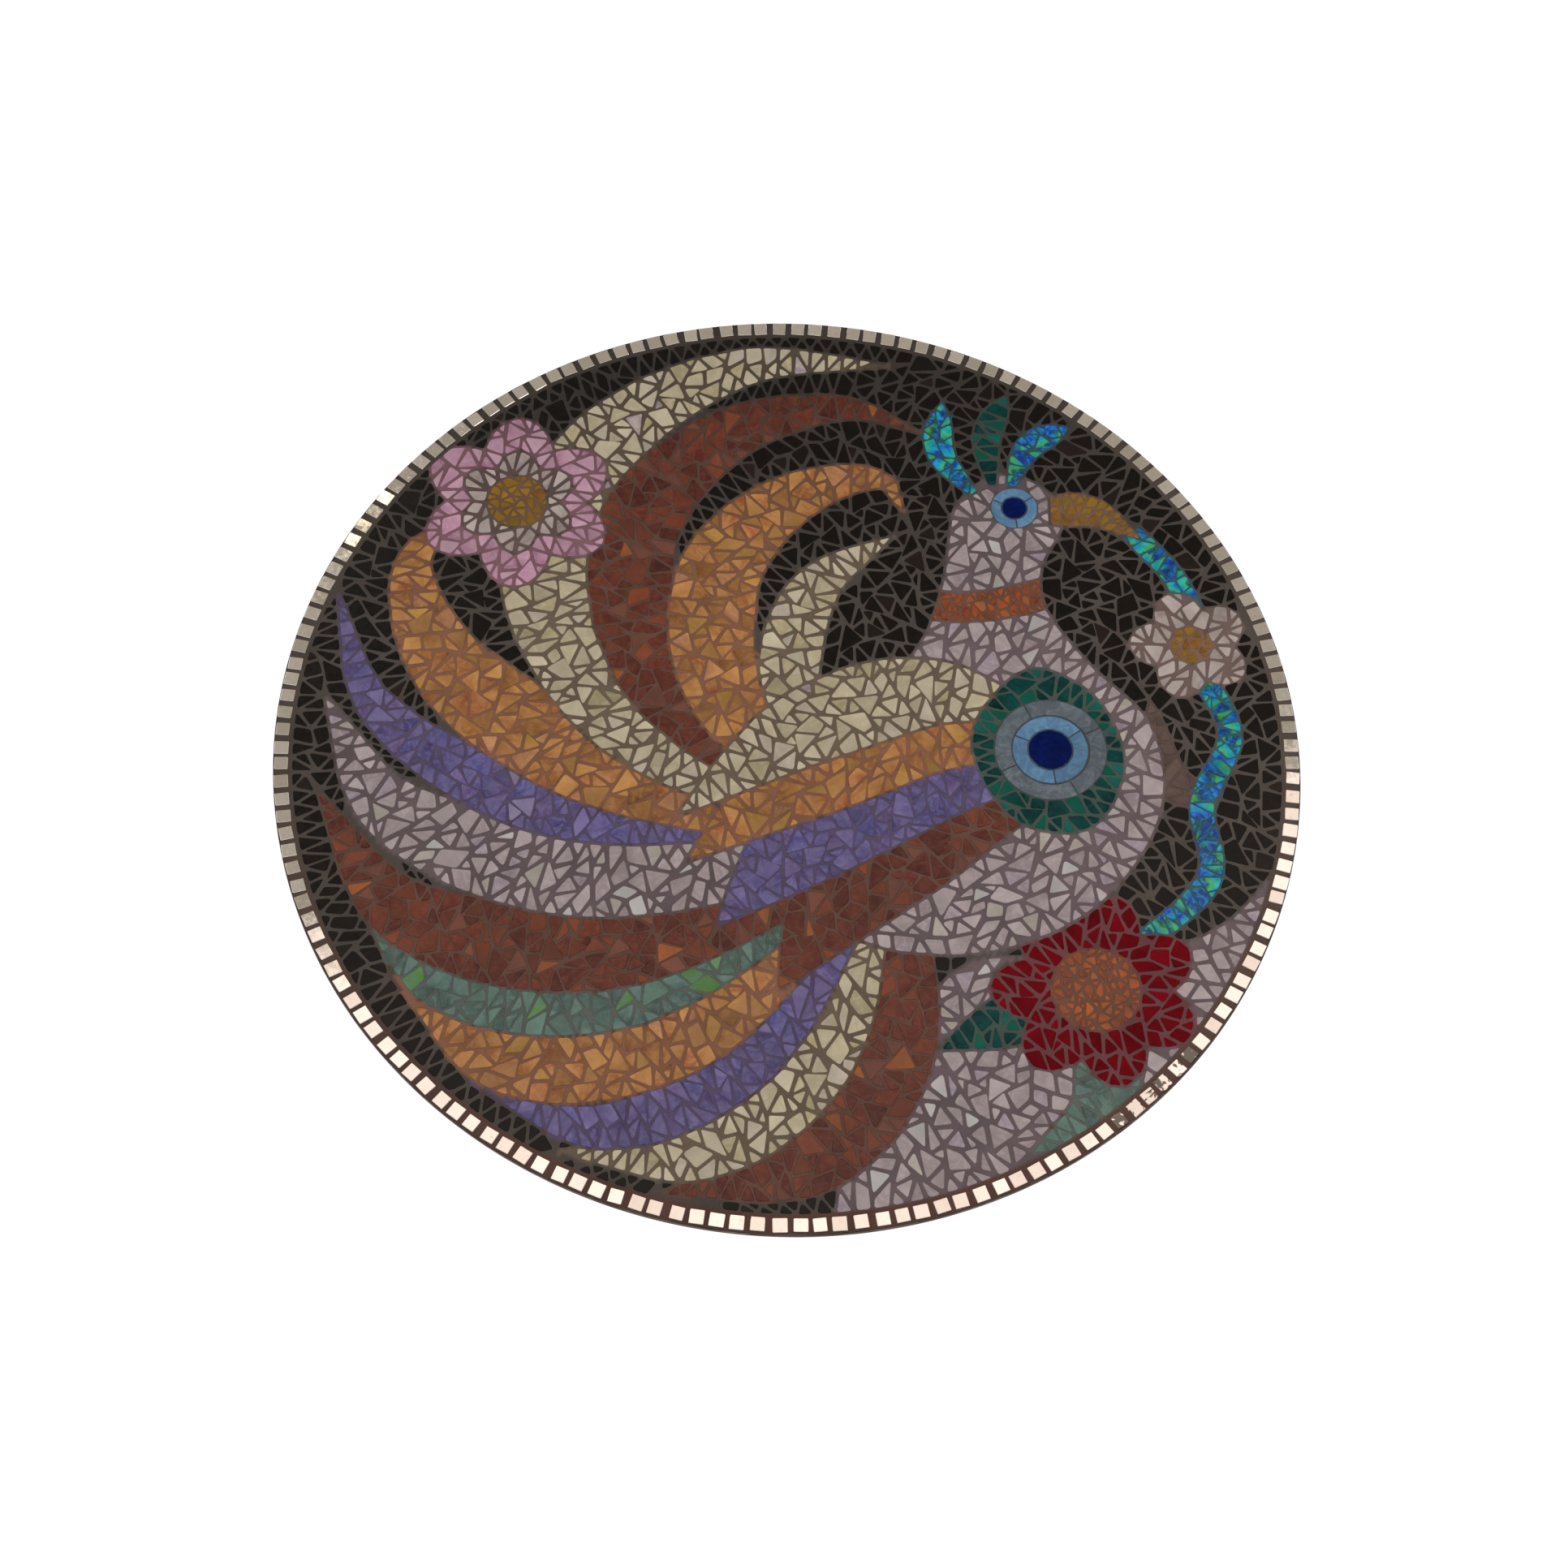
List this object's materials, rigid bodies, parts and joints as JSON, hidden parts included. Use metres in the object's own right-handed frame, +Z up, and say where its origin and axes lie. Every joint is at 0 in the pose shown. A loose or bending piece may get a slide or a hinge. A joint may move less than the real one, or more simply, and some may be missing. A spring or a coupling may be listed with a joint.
{
  "type": "round glass mosaic wall panel",
  "caption": "Thin round wall panel faced with hand-cut glass mosaic of a long-tailed bird, plumes and flowers, edged with a row of small mirror tiles.",
  "frame": {"origin": "centre of the flat back face, where the panel meets the wall", "axes": "+Y out of the back into the wall, -Y out of the front, +Z up the picture, +X to the viewer's right"},
  "size_m": [0.72, 0.009, 0.72],
  "materials": {
    "board": "painted dark brown at the edge, matte",
    "grout": "brown-grey cement grout, matte",
    "mirror": "small silvered mirror tiles, polished",
    "black": "opaque black glass, slightly rippled, glossy",
    "pearl": "opaque pearly lavender glass, wispy, with a soft rainbow sheen",
    "cream": "opaque cream glass, streaky, glossy",
    "copper": "opaque copper-orange glass, streaked gold and brown",
    "brown": "opaque red-brown glass with orange flecks",
    "purple": "opaque violet glass, nearly without joints",
    "red": "deep red glass, opaque, glossy",
    "ember": "orange-red glass with a metallic sheen",
    "teal": "dark teal glass, streaky, glossy",
    "sage": "pale sea-green glass, opaque",
    "opal": "dichroic glass from deep blue to turquoise and green",
    "white": "silver-white textured glass",
    "pink": "opaque pink-violet glass",
    "gold": "opaque gold-yellow glass",
    "taupe": "opaque taupe glass, soft sheen",
    "steel_blue": "opaque steel-blue glass in large pieces",
    "sky_blue": "opaque light-blue glass in large pieces",
    "deep_blue": "opaque deep-blue glass in large pieces"
  },
  "bodies": {
    "root": {"backing_board": "board", "adhesive_coat": "grout", "mirror_row": "mirror", "eye": "deep_blue", "eye_ring": "sky_blue", "beak": "gold", "crest_front": "opal", "crest_middle": "teal", "crest_back": "opal", "collar": "ember", "wing_eye_centre": "deep_blue", "wing_eye_middle": "sky_blue", "wing_eye": "steel_blue", "shoulder": "teal", "wing_cream": "cream", "wing_copper": "copper", "wing_purple": "purple", "wing_brown": "brown", "body_1": "pearl", "body_2": "pearl", "pink_flower_centre": "gold", "pink_flower_inner": "white", "pink_flower": "pink", "white_flower_centre": "gold", "white_flower": "white", "red_flower_centre": "ember", "red_flower": "red", "vine_top": "opal", "vine": "opal", "tail_cream_inner": "cream", "tail_copper_inner": "copper", "tail_brown_top": "brown", "tail_cream_top_1": "cream", "tail_cream_top_2": "cream", "tail_copper_left": "copper", "tail_purple": "purple", "tail_pearl_left": "pearl", "tail_brown_left": "brown", "tail_sage": "sage", "tail_copper_low": "copper", "tail_purple_low": "purple", "tail_cream_low": "cream", "tail_brown_low": "brown", "leaf_left": "teal", "leaf_right": "taupe", "leaf_low": "sage", "hill_1": "pearl", "hill_2": "pearl", "hill_3": "pearl", "ground_1": "black", "ground_2": "black", "ground_3": "black", "ground_4": "black", "ground_5": "black", "ground_6": "black"}
  },
  "joints": []
}
